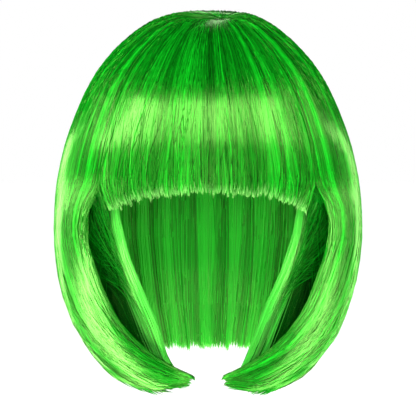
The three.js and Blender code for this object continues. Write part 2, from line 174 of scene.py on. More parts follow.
# Columns: place across the panel, where its strands end.
FRINGE_ENDS = np.array([
    [0.0, 0.537], [0.07, 0.526], [0.2, 0.511], [0.35, 0.502], [0.5, 0.499], [0.65, 0.502],
    [0.8, 0.511], [0.93, 0.526], [1.0, 0.537],
])
CURTAIN_ENDS = np.array([
    [0.0, 0.882], [0.08, 0.906], [0.18, 0.926], [0.31, 0.955], [0.52, 0.965], [0.8, 0.926], [1.0, 0.875],
])
BACK_ENDS = np.array([[0.0, 0.87], [0.5, 0.855], [1.0, 0.87]])
TEMPLE_ENDS = np.array([[0.0, 0.9], [0.3, 0.88], [1.0, 0.86]])
NAPE_ENDS = np.array([[0.0, 0.84], [0.5, 0.865], [1.0, 0.84]])
CAP_EDGE = np.array([[0.0, CAP_END], [0.25, 0.46], [0.5, 0.37], [0.75, 0.46], [1.0, CAP_END]])


def along(rows, s):
    """The columns of a table at places s: a cubic through its rows. The slope at a row is the harmonic
    mean of the steps on its two sides, or 0 where they turn, so the curve never passes its rows."""
    places, values = rows[:, 0], rows[:, 1:]
    steps = np.diff(values, axis=0) / np.diff(places)[:, None]
    slopes = np.concatenate([steps[:1], np.zeros_like(steps[1:]), steps[-1:]])
    product, total = steps[:-1] * steps[1:], steps[:-1] + steps[1:]
    same_way = product > 0
    slopes[1:-1][same_way] = 2 * product[same_way] / total[same_way]
    k = np.clip(np.searchsorted(places, s, side="right") - 1, 0, len(places) - 2)
    span = (places[k + 1] - places[k])[..., None]
    t = np.clip((s - places[k])[..., None] / span, 0, 1)
    ends = values[k] * (1 + 2 * t) * (1 - t) ** 2 + values[k + 1] * t * t * (3 - 2 * t)
    return ends + span * t * (1 - t) * (slopes[k] * (1 - t) - slopes[k + 1] * t)


def ease(x, low, high):
    """0 below low, 1 above high, and 3t^2 - 2t^3 between them."""
    t = np.clip((x - low) / (high - low), 0, 1)
    return t * t * (3 - 2 * t)


def section_point(azimuth, s, z, reach, exponent):
    """A point of a level section. Its side is the reach's first column times sin(azimuth), and its front
    or back the second or third times cos(azimuth), each of them to the power 2 / exponent. Near the
    whorl the section stands at the whorl, and it rises by (1 - cos(azimuth)) / 2 of its rise."""
    angle = np.radians(azimuth)
    side = np.sign(np.sin(angle)) * np.abs(np.sin(angle)) ** (2 / exponent)
    ahead = np.sign(np.cos(angle)) * np.abs(np.cos(angle)) ** (2 / exponent)
    centre, rise = np.moveaxis(along(WHORL_ROWS, s), -1, 0)
    x = WHORL[0] * centre + reach[..., 0] * side
    y = WHORL[1] * centre - ahead * np.where(ahead > 0, reach[..., 1], reach[..., 2]) - TOP_OFFSET
    z = WHORL[2] + z + rise * CROWN_RISE * (1 - np.cos(angle)) / 2
    return np.stack(np.broadcast_arrays(x, y, z), axis=-1)


def head_point(azimuth, s, offset):
    """The head's surface moved out by an offset."""
    s = np.minimum(s, CAP_END)
    rows = along(HEAD_ROWS, s)
    reach = rows[..., 1:] * (HEAD_REACH + np.asarray(offset)[..., None])
    return section_point(azimuth, s, offset - rows[..., 0] * CAP_DEPTH, reach, HEAD_EXPONENT)


def hair_point(azimuth, s, depth):
    """The outer hair's surface, moved in level by a depth."""
    rows = along(HAIR_ROWS, s)
    reach = rows[..., 1:] * HAIR_REACH - np.asarray(depth)[..., None]
    return section_point(azimuth, s, HAIR_ABOVE - rows[..., 0] * HAIR_DROP, reach, HAIR_EXPONENT)


def hair_inside(azimuth, s, thickness):
    """The inside of the outer hair: on the cap over the crown, a thickness in from its surface below."""
    on_cap = head_point(azimuth, s, SEAT)
    hanging = hair_point(azimuth, s, thickness)
    return on_cap + (hanging - on_cap) * ease(s, LEAVES_CAP, OFF_CAP)[..., None]


def under_point(azimuth, fall, offset):
    """The close layer moved out by an offset: on the cap where fall is under 0, and hanging below."""
    seated = head_point(azimuth, CAP_END + np.maximum(-fall, 0) * (UNDER_START - CAP_END), SEAT + offset)
    down = np.maximum(fall, 0)
    reach = along(UNDER_ROWS, down) * (HEAD_REACH + SEAT) + np.asarray(offset)[..., None]
    level = np.full_like(down, CAP_END)
    hanging = section_point(azimuth, level, SEAT - CAP_DEPTH - down * UNDER_DROP, reach, HEAD_EXPONENT)
    return np.where((fall < 0)[..., None], seated, hanging)


class Panel:
    """One panel of hair. Across it u runs from its first edge to its last, down it v from where its
    strands start to their ends, and through it depth runs from its outside to its inside."""

    def __init__(self, node, side, edges, ends, start, length, outside, inside, free_edges):
        self.node, self.side, self.edges, self.ends = node, side, edges, ends
        self.start, self.length = start, length
        self.outside, self.inside, self.free_edges = outside, inside, free_edges

    def end(self, u):
        """Where the strands at u end."""
        return along(self.ends, np.clip(u, 0, 1))[..., 0]

    def walls(self, u, v):
        """The points of the outside and the inside. The azimuth runs straight from edge to edge."""
        first, last = (edge(v) for edge in self.edges)
        azimuth = self.side * (first + (last - first) * u)
        return self.outside(azimuth, v), self.inside(azimuth, v)

    def point(self, u, v, depth):
        """The point at a depth under the outside, and the unit direction out of the hair there."""
        outside, inside = self.walls(u, v)
        inward = inside - outside
        wall = np.linalg.norm(inward, axis=-1)
        inward /= wall[..., None]
        return outside + inward * np.minimum(depth, wall)[..., None], -inward

    def wall(self, u, v):
        """The thickness of the hair: the distance between its walls, eased to a thin one down the last
        quarter of the strands and, below the first half, towards the free edges."""
        outside, inside = self.walls(u, v)
        wall = np.linalg.norm(outside - inside, axis=-1)
        pinch = np.zeros_like(wall)
        if self.free_edges[0]:
            pinch = np.maximum(pinch, 1 - ease(u, 0, PINCH))
        if self.free_edges[1]:
            pinch = np.maximum(pinch, 1 - ease(1 - u, 0, PINCH))
        down = (v - self.start) / (self.end(u) - self.start)
        thin = np.maximum(ease(down, 0.72, 1.0), ease(down, 0.35, 0.55) * pinch)
        return wall + (np.minimum(HEM_WALL, wall) - wall) * thin


def edge_of(rows):
    """A panel's edge as a function of the place down the strands."""
    return lambda v: along(rows, np.maximum(v, 0))[..., 0]


def outer_panel(node, side, edges, ends, thickness, free_edges=(False, False)):
    """A panel of the outer layer."""
    return Panel(
        node, side, edges, ends, START, STRAND_LENGTH,
        lambda azimuth, v: hair_point(azimuth, v, 0.0),
        lambda azimuth, v: hair_inside(azimuth, v, thickness), free_edges,
    )


def under_panel(node, side, edges, ends, free_edges=(False, False)):
    """A panel of the close layer. It starts at fall -1, and its wall thickens by the eased fall as it
    leaves the cap."""
    return Panel(
        node, side, edges, ends, -1.0, UNDER_DROP,
        lambda azimuth, v: under_point(
            azimuth, v, SEWN_WALL + (UNDER_WALL - SEWN_WALL) * ease(v, -1.0, 0.15)
        ),
        lambda azimuth, v: under_point(azimuth, v, 0.0), free_edges,
    )


NO_TRIANGLES = np.empty((0, 3), int)


def new_object(name, points, quads, triangles=NO_TRIANGLES, attributes=None):
    """An object from arrays of points, quads and triangles. Attributes hold a number per point."""
    mesh = bpy.data.meshes.new(name)
    corners = np.concatenate([quads.ravel(), triangles.ravel()]).astype(np.int32)
    starts = np.concatenate([np.arange(len(quads)) * 4, len(quads) * 4 + np.arange(len(triangles)) * 3])
    mesh.vertices.add(len(points))
    mesh.vertices.foreach_set("co", points.astype(np.float32).ravel())
    mesh.loops.add(len(corners))
    mesh.loops.foreach_set("vertex_index", corners)
    mesh.polygons.add(len(starts))
    mesh.polygons.foreach_set("loop_start", starts.astype(np.int32))
    mesh.update(calc_edges=True)
    for key, values in (attributes or {}).items():
        attribute = mesh.attributes.new(key, "FLOAT", "POINT")
        attribute.data.foreach_set("value", values.astype(np.float32).ravel())
    mesh.shade_smooth()
    made = bpy.data.objects.new(name, mesh)
    bpy.context.scene.collection.objects.link(made)
    return made


def shell_faces(rows, columns, flipped):
    """Quads of a closed shell of two grids of points, the outside first and the inside after it."""
    outer = np.arange((rows + 1) * (columns + 1)).reshape(rows + 1, columns + 1)
    inner = outer + outer.size
    strips = [
        [outer[:-1, :-1], outer[1:, :-1], outer[1:, 1:], outer[:-1, 1:]],
        [inner[:-1, :-1], inner[:-1, 1:], inner[1:, 1:], inner[1:, :-1]],
        [outer[0, :-1], outer[0, 1:], inner[0, 1:], inner[0, :-1]],
        [outer[-1, 1:], outer[-1, :-1], inner[-1, :-1], inner[-1, 1:]],
        [outer[:-1, 0], inner[:-1, 0], inner[1:, 0], outer[1:, 0]],
        [inner[1:, -1], inner[:-1, -1], outer[:-1, -1], outer[1:, -1]],
    ]
    quads = np.concatenate([np.stack(s, axis=-1).reshape(-1, 4) for s in strips])
    return quads[:, ::-1] if flipped else quads


@dataclass
class Laying:
    """How the strands of one panel are laid."""

    seed: int
    # How many strands lie on the outside and on the inside, how many rings each has, and how many locks
    # they are gathered in.
    outer: int
    inner: int
    rings: int
    locks: int
    # How ragged the ends are in millimetres, what share of the pull to their lock they take, over what
    # share of the panel the roots are spread, how far the strands sweep towards the panel's first edge,
    # by what share of their length they are layered, and over what length they taper.
    ragged: float = 1.6
    pull: float = 1.0
    spread: float = 0.3
    sweep: float = 0.0
    layered: float = 0.0
    taper: float = 4 * MM
    # From where across the panel they lie sunk, and their tone is darkened as painted shade.
    sunk_from: float = 2.0
    # How much painted light lifts their tone over the rest, how strong their bands of lighter and darker
    # tone are and how many radians of them lie across the panel, how far their ends are paled as painted
    # light, how much paler their roots are, and how much painted sheen lies along their length.
    painted_light: float = 0.0
    bands: float = 0.35
    radians: float = 21.0
    painted_pale: float = 0.3
    pale_root: float = 0.0
    painted_sheen: float = 0.0

    def sunk(self, place):
        """1 where the strands lie sunk and their tone is darkened as painted shade, 0 where they don't,
        and eased between.
        """
        return ease(place, self.sunk_from, self.sunk_from + SUNK_OVER)


def hair_mass(panel, laying, rows=48, columns=64):
    """The body of a panel under its laid strands: a closed shell between a depth just under them and
    the hair's inside, with fine ridges along it, sin of the place across it in two wavelengths. It ends
    short of the strands, by more the longer they taper."""
    u, t = np.meshgrid(np.linspace(0, 1, columns + 1), np.linspace(0, 1, rows + 1))
    u = u * (1 - MASS_INSET * sum(panel.free_edges)) + MASS_INSET * panel.free_edges[0]
    cut_back = PALE_END + laying.taper / 2
    v = panel.start + (panel.end(u) - cut_back / panel.length - panel.start) * t
    ridge = 0.5 + 0.25 * np.sin(u * 230) + 0.25 * np.sin(u * 371 + 3 * t)
    sunk = laying.sunk(u)
    outer_depth = (1.3 + 0.6 * ridge) * MM + SUNK_BY * sunk
    inner_depth = np.maximum(panel.wall(u, v) - (0.9 + 0.5 * ridge) * MM, outer_depth + 0.5 * MM)
    outside, _ = panel.point(u, v, outer_depth)
    inside, _ = panel.point(u, v, inner_depth)
    points = np.concatenate([outside.reshape(-1, 3), inside.reshape(-1, 3)])
    # Painted shade: the mass's tone stays low for the shade between the strands over it, rises along its
    # ridges and by the panel's painted light, and drops to the darkest where the strands lie sunk.
    tone = np.tile(((0.1 + 0.3 * ridge + laying.painted_light) * (1 - sunk)).ravel(), 2)
    return new_object(
        f"{panel.node}_mass", points, shell_faces(rows, columns, panel.side < 0),
        attributes={"tone": tone, "painted_pale": np.zeros_like(tone)},
    )


def strand_bodies(paths, outward, radii):
    """Closed three-sided bodies round paths. Corner k stands off its path by the radius, turned by
    a k-th third of a turn from the side direction, which is the path's own crossed with outward."""
    count, rings = radii.shape
    ahead = np.gradient(paths, axis=1)
    ahead /= np.linalg.norm(ahead, axis=-1, keepdims=True)
    side = np.cross(ahead, outward)
    side /= np.linalg.norm(side, axis=-1, keepdims=True)
    lift = np.cross(side, ahead)
    turn = np.radians([90.0, 210.0, 330.0])[:, None]
    spokes = np.cos(turn) * side[:, :, None] + np.sin(turn) * lift[:, :, None]
    points = (paths[:, :, None] + radii[:, :, None, None] * spokes).reshape(-1, 3)
    index = np.arange(count * rings * 3).reshape(count, rings, 3)
    after = np.roll(index, -1, axis=2)
    quads = np.stack([index[:, :-1], index[:, 1:], after[:, 1:], after[:, :-1]], axis=-1).reshape(-1, 4)
    roots, tips = index[:, 0], index[:, -1, ::-1]
    return points, quads, np.concatenate([roots, tips])


def gathered(place, laying, rng):
    """The middle of each strand's lock across the panel, and the share of length, lift and tone that the
    strands of a lock have in common. The widths of the locks vary evenly from 0.4 to 1.6."""
    borders = np.cumsum(rng.uniform(0.4, 1.6, laying.locks + 1))
    borders = (borders - borders[0]) / (borders[-1] - borders[0])
    lock = np.clip(np.searchsorted(borders, place) - 1, 0, laying.locks - 1)
    return 0.5 * (borders[lock] + borders[lock + 1]), rng.normal(0, 1, (3, laying.locks))[:, lock]


def wandering(place, t, stray, fibre, rng):
    """How far strands wander across the panel: a sine of the way down, with a phase that changes slowly
    from strand to strand, and three times as far and at any phase for the stray ones."""
    sway = (0.7 + 0.3 * rng.random(len(place))) * np.where(stray, 3.0, 1.0) * fibre.sway / PANEL_WIDTH
    phase = 2 * np.pi * (np.where(stray, 1.0, 0.12) * rng.random(len(place)) + place * 9)
    waves = 2 * np.pi * np.where(stray, 1.3, 0.9)
    return sway[:, None] * np.sin(waves[:, None] * t + phase[:, None]) * ease(t, 0, 0.3)


def strand_depths(panel, laying, place, is_inner, stray, lock_lift, u, v, t, rng):
    """How deep strands lie: a random rise under the outside or over the inside, deeper where they come
    out of the mass and where they are sunk, less for the stray ones, and anywhere in the wall at a free
    edge."""
    rise = (0.2 + 0.9 * rng.random(len(place)))[:, None] * MM
    rise = rise + 0.35 * MM * lock_lift[:, None] * ease(t, 0.3, 1)
    rise = rise + SUNK_BY * laying.sunk(place)[:, None]
    out_of_mass = 1.5 * MM * (1 - ease(t, 0, 0.03))
    lifted = np.where(stray, 1.4 * MM, 0)[:, None] * ease(t, 0.3, 0.9)
    wall = panel.wall(u, v)
    depth = np.where(is_inner[:, None], wall - 0.35 * rise, rise + out_of_mass - lifted)
    at_edge = (place < 0.035) & panel.free_edges[0] | (place > 0.965) & panel.free_edges[1]
    return np.where(at_edge[:, None], wall * rng.random(len(place))[:, None], depth)


def laid_strands(panel, fibre, laying):
    """Strands laid along a panel. Each keeps its place across it, but for its wandering and a sweep
    towards the first edge by the eased way down, and near its end it is drawn to its lock's middle by
    the eighth power of its way down. It ends on the cut line, shorter by a power of its distance from
    the lock's middle. Its tone is that of its lock and its band, with a normal draw of its own."""
    rng = np.random.default_rng(laying.seed)
    count = laying.outer + laying.inner
    place = (np.arange(count) + rng.random(count)) / count
    rng.shuffle(place)
    is_inner = np.arange(count) >= laying.outer
    middle, (lock_length, lock_lift, lock_tone) = gathered(place, laying, rng)

    x = np.append(np.linspace(0, 0.96, laying.rings - 2), [0.985, 1.0])[None, :]
    reach = 1 + 0.03 * laying.layered - laying.layered * rng.random(count) ** 1.5
    t = x * (1.3 - 0.3 * x) * reach[:, None]
    stray = rng.random(count) < fibre.stray_share
    pull = laying.pull * fibre.lock_pull * t**8
    u = place[:, None] + (middle - place)[:, None] * pull + wandering(place, t, stray, fibre, rng)
    swept = (laying.sweep * (1 - ease(place, 0.45, 1.0)))[:, None]
    u = np.clip(u * (1 - swept * ease(t, 0.7, 1.0)), -0.006, 1.006)
    down = 1 - (1 - t) * (1 - swept * ease(t, 0.6, 0.9))

    root = panel.start + laying.spread * rng.random(count) ** 1.5
    shorter = rng.normal(0, 0.5, count) + rng.exponential(0.9, count) - 0.9
    shorter += 1.2 * laying.pull * np.abs(2 * laying.locks * (middle - place)) ** 1.5 - 0.6 * lock_length
    cut = shorter * laying.ragged * MM / panel.length
    v = root[:, None] + (panel.end(u) - (cut + root)[:, None]) * down
    v = np.maximum(v, panel.start)
    depth = strand_depths(panel, laying, place, is_inner, stray, lock_lift, u, v, t, rng)
    paths, outward = panel.point(u, v, depth)

    to_end = (t[:, -1:] - t) * (panel.end(u) - root[:, None]) * panel.length
    thickness = fibre.strand_width / math.sqrt(3) * rng.uniform(0.7, 1.35, count)[:, None]
    radii = thickness * (0.15 + 0.85 * ease(to_end, -1 * MM, laying.taper))
    points, quads, triangles = strand_bodies(paths, outward, radii)

    sunk = laying.sunk(place)
    band = 0.5 + 0.5 * np.sin(place * laying.radians + laying.seed) * np.cos(place * 9 + 2 * laying.seed)
    # The tone is the lock's and the band's with a random draw of the strand's own, lifted by painted
    # light and darkened as painted shade where the strands lie sunk.
    tone = 0.5 + 0.1 * lock_tone + 0.16 * rng.normal(0, 1, count) + laying.bands * (band - 0.5)
    tone = np.clip((tone + laying.painted_light) * (1 - 0.9 * sunk), 0, 1)
    # Painted light: the last millimetres are paled as light through the cut ends; the roots are paler
    # over their first millimetres.
    painted_pale = laying.painted_pale * (0.2 + 0.8 * rng.random(count))[:, None] * (1 - ease(to_end, 0, PALE_END))
    at_root = 1 - ease((v - panel.start) * panel.length, 0, PALE_ROOT)
    painted_pale = np.maximum(painted_pale, laying.pale_root * rng.random(count)[:, None] * at_root)
    # Painted sheen: paler along the whole strand by its band, except where the strands lie sunk.
    painted_pale = np.maximum(painted_pale, (laying.painted_sheen * (0.4 + 0.6 * band) * (1 - sunk))[:, None])
    return new_object(
        f"{panel.node}_strands", points, quads, triangles,
        {"tone": np.repeat(tone, laying.rings * 3), "painted_pale": np.repeat(painted_pale.ravel(), 3)},
    )


def crossing_strands(side, fibre, seed, count=340, rings=9):
    """Loose strands in the hollow between a curtain and its temple lock. Each leaves the outer hair,
    turns in azimuth by a straight line and falls by t, and passes from the outer hair to the close lock
    by the eased t. One in twelve goes the other way, back under the curtain. Two in three lie close
    together over the hollow's upper corner, where the fringe runs over into the curtain."""
    rng = np.random.default_rng(seed)
    t = np.linspace(0, 1, rings)[None, :]
    kind, near, turns_back, leaving, landing, behind, shade = rng.random((7, count, 1))
    corner = kind < 0.66
    near = 4 + 8 * near
    back = (turns_back < 0.25) & ~corner
    leaves = np.where(corner, 0.43 + 0.08 * leaving, 0.43 + 0.23 * leaving)
    lands = np.clip((leaves - 0.5) * 1.6 + 0.25 + 0.25 * landing, 0.2, 0.85)
    lands = np.where(corner, 0.04 + 0.2 * landing, lands)
    first = edge_of(CURTAIN_EDGE)(leaves) + np.where(back, 0.3, 1.0) * near
    first = np.where(corner, 34 + 1.5 * near, first)
    last = edge_of(TEMPLE_EDGE)(lands) + np.where(back, 8 + 18 * behind, near + 5 * corner)
    azimuth = side * (first + (last - first) * t)
    depth = np.where(corner, 1 + 4 * behind, 9) * MM
    outer = hair_point(azimuth, leaves + np.where(corner, 0.05, 0.17) * t, depth)
    close = under_point(azimuth, lands * (0.2 + 0.8 * t), 9.0 * MM)
    paths = outer + (close - outer) * ease(t, 0, 1)[..., None]
    outward = np.broadcast_to(np.array([0.0, -1.0, 0.2]), paths.shape)
    slim = 0.2 * fibre.strand_width * np.where(corner, 2.0, 1.0)
    radii = slim * (1 - 0.8 * ease(t, 0.8, 1)) * (0.2 + 0.8 * ease(t, 0, 0.2))
    points, quads, triangles = strand_bodies(paths, outward, radii)
    tone = np.where(corner, 0.35 + 0.3 * shade, 0.1 + 0.7 * shade)
    name = "left" if side > 0 else "right"
    return new_object(
        f"crossing_strands_{name}", points, quads, triangles,
        {"tone": np.repeat(tone, rings * 3), "painted_pale": np.zeros(count * rings * 3)},
    )


def net_cap(rows=48, columns=96):
    """The net base: the head's surface, closed at the whorl and open below, with twelve sewn rows of
    hair showing as low ridges round it, a power of the cosine of the place down it, and a band at its
    hem. Its first and last columns are joined, and the flat faces left at the whorl taken out."""
    u, t = np.meshgrid(np.linspace(0, 1, columns + 1), np.linspace(0, 1, rows + 1))
    s = t * along(CAP_EDGE, u)[..., 0]
    azimuth = -180 + 360 * u
    weft = (0.5 + 0.5 * np.cos(2 * np.pi * t * 12)) ** 6 * ease(t, 0.05, 0.15)
    band = ease(t, 0.93, 0.97)
    low = 1 - np.maximum(weft, band)
    outside = head_point(azimuth, s, CAP_WALL - 0.5 * MM * low)
    inside = head_point(azimuth, s, 0.4 * MM * low)
    points = np.concatenate([outside.reshape(-1, 3), inside.reshape(-1, 3)])
    made = new_object("cap_net", points, shell_faces(rows, columns, False))
    build = bmesh.new()
    build.from_mesh(made.data)
    bmesh.ops.remove_doubles(build, verts=build.verts, dist=0.001 * MM)
    flat = [face for face in build.faces if face.calc_area() < 1e-14]
    bmesh.ops.delete(build, geom=flat, context="FACES_ONLY")
    build.to_mesh(made.data)
    build.free()
    return made


def linear(hex_colour):
    """An sRGB hex colour as linear red, green, blue and alpha."""
    channels = [int(hex_colour[i : i + 2], 16) / 255 for i in (0, 2, 4)]
    return (*[c / 12.92 if c <= 0.04045 else ((c + 0.055) / 1.055) ** 2.4 for c in channels], 1.0)


def add_node(tree, kind, settings=None, links=None):
    """A node with its properties and sockets set by name, and its sockets linked to other outputs."""
    made = tree.nodes.new(kind)
    for key, value in (settings or {}).items():
        if key in made.inputs:
            made.inputs[key].default_value = value
        else:
            setattr(made, key, value)
    for key, output in (links or {}).items():
        tree.links.new(output, made.inputs[key])
    return made


def new_material(name):
    """An empty node material, its tree and its output node."""
    material = bpy.data.materials.new(name)
    material.use_nodes = True
    material.node_tree.nodes.clear()
    output = material.node_tree.nodes.new("ShaderNodeOutputMaterial")
    return material, material.node_tree, output


def glossy_fibre(name, colours, gloss=1.0):
    """Extruded modacrylic fibre, dyed through and left bright: a smooth plastic gloss along each strand,
    a clear green body whose depth varies from strand to strand and whose tone also carries painted
    light and painted shade, ends paled as painted light, paler roots and a painted sheen. The real
    fibre's IOR is about 1.5. It is raised here, because a laid strand stands for several and has fewer
    faces to throw the light back."""
    material, tree, output = new_material(name)
    tone = add_node(tree, "ShaderNodeAttribute", {"attribute_name": "tone"})
    painted_pale = add_node(tree, "ShaderNodeAttribute", {"attribute_name": "painted_pale"})
    # The tone's colour, from deep to bright; the tone carries painted light and painted shade besides
    # each strand's own depth.
    tone_colour = add_node(tree, "ShaderNodeValToRGB", links={"Fac": tone.outputs["Fac"]})
    tone_colour.color_ramp.elements[0].color = colours.deep
    tone_colour.color_ramp.elements[1].color = colours.bright
    tone_colour.color_ramp.elements.new(0.5).color = colours.body
    # The paler colour is mixed in as painted light at the cut ends and along the painted sheen, and at
    # the paler roots.
    paled = add_node(tree, "ShaderNodeMix", {"data_type": "RGBA"}, {"Factor": painted_pale.outputs["Fac"]})
    dyed, painted_pale_socket = (socket for socket in paled.inputs if socket.type == "RGBA")
    tree.links.new(tone_colour.outputs["Color"], dyed)
    painted_pale_socket.default_value = colours.painted_pale_colour
    colour = next(socket for socket in paled.outputs if socket.type == "RGBA")
    shader = add_node(
        tree, "ShaderNodeBsdfPrincipled",
        {"Roughness": 0.2, "IOR": 1.95, "Specular IOR Level": gloss, "Specular Tint": colours.gloss},
        {"Base Color": colour},
    )
    tree.links.new(shader.outputs["BSDF"], output.inputs["Surface"])
    return material


def stretch_net(name, colours):
    """Warp-knitted stretch net: fine holes 1.6 mm apart, painted dark as the shade seen through them."""
    material, tree, output = new_material(name)
    place = add_node(tree, "ShaderNodeTexCoord")
    holes = add_node(
        tree, "ShaderNodeTexVoronoi", {"Scale": 1 / (1.6 * MM), "Randomness": 0.15},
        {"Vector": place.outputs["Object"]},
    )
    shade = add_node(tree, "ShaderNodeValToRGB", links={"Fac": holes.outputs["Distance"]})
    shade.color_ramp.elements[0].color = colours.net_hole_shade
    shade.color_ramp.elements[0].position = 0.25
    shade.color_ramp.elements[1].color = colours.net
    shade.color_ramp.elements[1].position = 0.5
    knit = add_node(
        tree, "ShaderNodeBump", {"Strength": 0.6, "Distance": 0.3 * MM},
        {"Height": holes.outputs["Distance"]},
    )
    shader = add_node(
        tree, "ShaderNodeBsdfPrincipled", {"Roughness": 0.8},
        {"Base Color": shade.outputs["Color"], "Normal": knit.outputs["Normal"]},
    )
    tree.links.new(shader.outputs["BSDF"], output.inputs["Surface"])
    return material


def wear(made, material, node):
    """Gives a piece its material, lets it ride on the wig and stand for a node's solid."""
    made.data.materials.append(material)
    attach(made, BODY)
    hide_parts(node)


def dress(panel, laying, scene):
    """Makes a panel's mass and strands, gives them their fibre and lets them stand for its solid."""
    mass = hair_mass(panel, laying)
    strands = laid_strands(panel, scene.wig_fibre, laying)
    material = glossy_fibre(f"glossy_modacrylic_{panel.node}", scene.wig_colours)
    for made in (mass, strands):
        wear(made, material, panel.node)


def colour_property(name, description, hex_colour):
    """A colour that the user can change, with its default from sRGB hex."""
    return bpy.props.FloatVectorProperty(
        name=name, description=description, default=linear(hex_colour), subtype="COLOR", size=4,
        min=0, max=1,
    )


class WigFibre(bpy.types.PropertyGroup):
    """How the strands are laid."""

    strand_width: bpy.props.FloatProperty(
        name="Strand width", description="Width of one laid strand, several real fibres side by side",
        default=0.7 * MM, unit="LENGTH",
    )
    sway: bpy.props.FloatProperty(
        name="Sway", description="How far a strand wanders to each side on its way down",
        default=0.8 * MM, unit="LENGTH",
    )
    lock_pull: bpy.props.FloatProperty(
        name="Lock pull", description="How far the ends are drawn to the middle of their lock",
        default=0.6, min=0, max=1, subtype="FACTOR",
    )
    stray_share: bpy.props.FloatProperty(
        name="Strays", description="Share of the strands that stand a little out of their lock",
        default=0.03, min=0, max=1, subtype="FACTOR",
    )


class WigColours(bpy.types.PropertyGroup):
    """The dyes, the gloss tint, the paler colour of the painted light, and the net's colours with its
    holes painted as shade.
    """

    deep: colour_property("Deep strands", "Darkest strands", "014307")
    body: colour_property("Body strands", "Most strands", "01780d")
    bright: colour_property("Bright strands", "Lightest strands", "0ccc23")
    # Painted light: the colour the strands turn to at their cut ends and along the painted sheen, and at
    # their paler roots.
    painted_pale_colour: colour_property("Cut ends", "The last millimetres of the strands", "a4f884")
    gloss: colour_property("Gloss", "Tint of the gloss", "a8ff76")
    net: colour_property("Net", "Threads of the cap", "0f6a1c")
    # Painted shade: the holes are given this dark colour for the shade seen through them.
    net_hole_shade: colour_property("Net holes", "Between the threads of the cap", "04300a")


class WigStage(bpy.types.PropertyGroup):
    """The camera and the studio."""

    distance: bpy.props.FloatProperty(
        name="Camera distance", description="From the camera to the wig", default=CAMERA_DISTANCE,
        unit="LENGTH",
    )
    elevation: bpy.props.FloatProperty(
        name="Camera elevation", description="Angle above the level", default=math.radians(4),
        subtype="ANGLE",
    )
    floor_drop: bpy.props.FloatProperty(
        name="Floor", description="From the origin down to the floor", default=0.6, unit="LENGTH",
    )
    light_power: bpy.props.FloatProperty(
        name="Light", description="Power of a softbox with a share of 1", default=60, unit="POWER",
    )


class WIG_OT_cap(bpy.types.Operator):
    """Makes the stretch net cap"""

    bl_idname = "wig.cap"
    bl_label = "Net cap"

    def execute(self, context):
        wear(net_cap(), stretch_net("stretch_net", context.scene.wig_colours), "cap")
        return {"FINISHED"}


class WIG_OT_fringe(bpy.types.Operator):
    """Makes the fringe"""

    bl_idname = "wig.fringe"
    bl_label = "Fringe"

    def execute(self, context):
        edges = (lambda v: -edge_of(FRINGE_EDGE)(v), edge_of(FRINGE_EDGE))
        panel = outer_panel("fringe", 1, edges, FRINGE_ENDS, thickness=9 * MM)
        # The cut ends are paled as painted light, and the roots are paler.
        laying = Laying(
            seed=3, outer=2000, inner=150, rings=13, locks=64, ragged=1.5, pull=0.6, painted_pale=0.75,
            pale_root=0.12,
        )
        dress(panel, laying, context.scene)
        return {"FINISHED"}


class WIG_OT_side_hair(bpy.types.Operator):
    """Makes the two side curtains"""

    bl_idname = "wig.side_hair"
    bl_label = "Side curtains"

    def execute(self, context):
        for name, side in (("left", 1), ("right", -1)):
            edges = (edge_of(CURTAIN_EDGE), edge_of(BACK_EDGE))
            panel = outer_panel(f"side_hair_{name}", side, edges, CURTAIN_ENDS, 11 * MM, (True, False))
            laying = Laying(
                seed=11 + side, outer=1350, inner=150, rings=20, locks=36, ragged=3.0, pull=0.2,
                sweep=0.85, layered=0.3, taper=14 * MM, pale_root=0.2,
            )
            dress(panel, laying, context.scene)
        return {"FINISHED"}


class WIG_OT_back_hair(bpy.types.Operator):
    """Makes the outer hair over the back"""

    bl_idname = "wig.back_hair"
    bl_label = "Back hair"

    def execute(self, context):
        edges = (edge_of(BACK_EDGE), lambda v: 360 - edge_of(BACK_EDGE)(v))
        panel = outer_panel("back_hair", 1, edges, BACK_ENDS, thickness=12 * MM)
        laying = Laying(seed=23, outer=1250, inner=100, rings=18, locks=30, ragged=3.0)
        dress(panel, laying, context.scene)
        return {"FINISHED"}


class WIG_OT_temple_locks(bpy.types.Operator):
    """Makes the two close locks that frame the face"""

    bl_idname = "wig.temple_locks"
    bl_label = "Temple locks"

    def execute(self, context):
        scene = context.scene
        for name, side in (("left", 1), ("right", -1)):
            edges = (edge_of(TEMPLE_EDGE), edge_of(NAPE_EDGE))
            panel = under_panel(f"temple_lock_{name}", side, edges, TEMPLE_ENDS, (True, False))
            # Painted shade darkens the strands from 0.17 across, where they lie sunk; painted light and
            # a painted sheen lighten the rest.
            laying = Laying(
                seed=37 + side, outer=500, inner=300, rings=13, locks=14, ragged=6.0, spread=0.1,
                sunk_from=0.17, painted_light=0.2, painted_sheen=0.2,
            )
            dress(panel, laying, scene)
            loose = crossing_strands(side, scene.wig_fibre, seed=71 + side)
            fibre = glossy_fibre(f"glossy_modacrylic_loose_{name}", scene.wig_colours, gloss=0.25)
            wear(loose, fibre, panel.node)
        return {"FINISHED"}


class WIG_OT_nape_hair(bpy.types.Operator):
    """Makes the close hair over the nape"""

    bl_idname = "wig.nape_hair"
    bl_label = "Nape hair"

    def execute(self, context):
        edges = (edge_of(NAPE_EDGE), lambda v: 360 - edge_of(NAPE_EDGE)(v))
        panel = under_panel("nape_hair", 1, edges, NAPE_ENDS)
        # Painted light lifts the tone of the close hair for the glow of light through the hair round the
        # hollow, a painted sheen lies along its bands, and its cut ends are paled as painted light.
        laying = Laying(
            seed=53, outer=100, inner=1200, rings=12, locks=60, pull=0.1, spread=0.1, painted_light=0.32,
            bands=0.55, radians=54, painted_pale=0.5, painted_sheen=0.09,
        )
        dress(panel, laying, context.scene)
        return {"FINISHED"}


